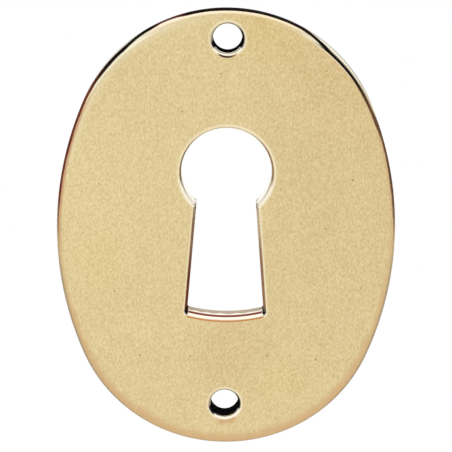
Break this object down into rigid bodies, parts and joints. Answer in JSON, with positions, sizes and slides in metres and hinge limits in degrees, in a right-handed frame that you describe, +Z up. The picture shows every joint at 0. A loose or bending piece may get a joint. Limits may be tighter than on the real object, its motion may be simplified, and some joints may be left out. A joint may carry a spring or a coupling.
{
  "type": "keyhole escutcheon",
  "caption": "Flat oval brass plate with a keyhole through its middle and a screw hole at each end, fixed over a drawer or cupboard lock to guard the wood from the key.",
  "frame": {"origin": "on the back face, midway between the two screw holes", "axes": "+Z up towards the round head of the keyhole, +X to the right seen from the front, and the front faces -Y, away from the wood"},
  "size_m": [0.027, 0.002, 0.0357],
  "materials": {
    "brass": "satin grained face with polished edges"
  },
  "bodies": {
    "root": {"escutcheon_plate": "brass"}
  },
  "joints": []
}
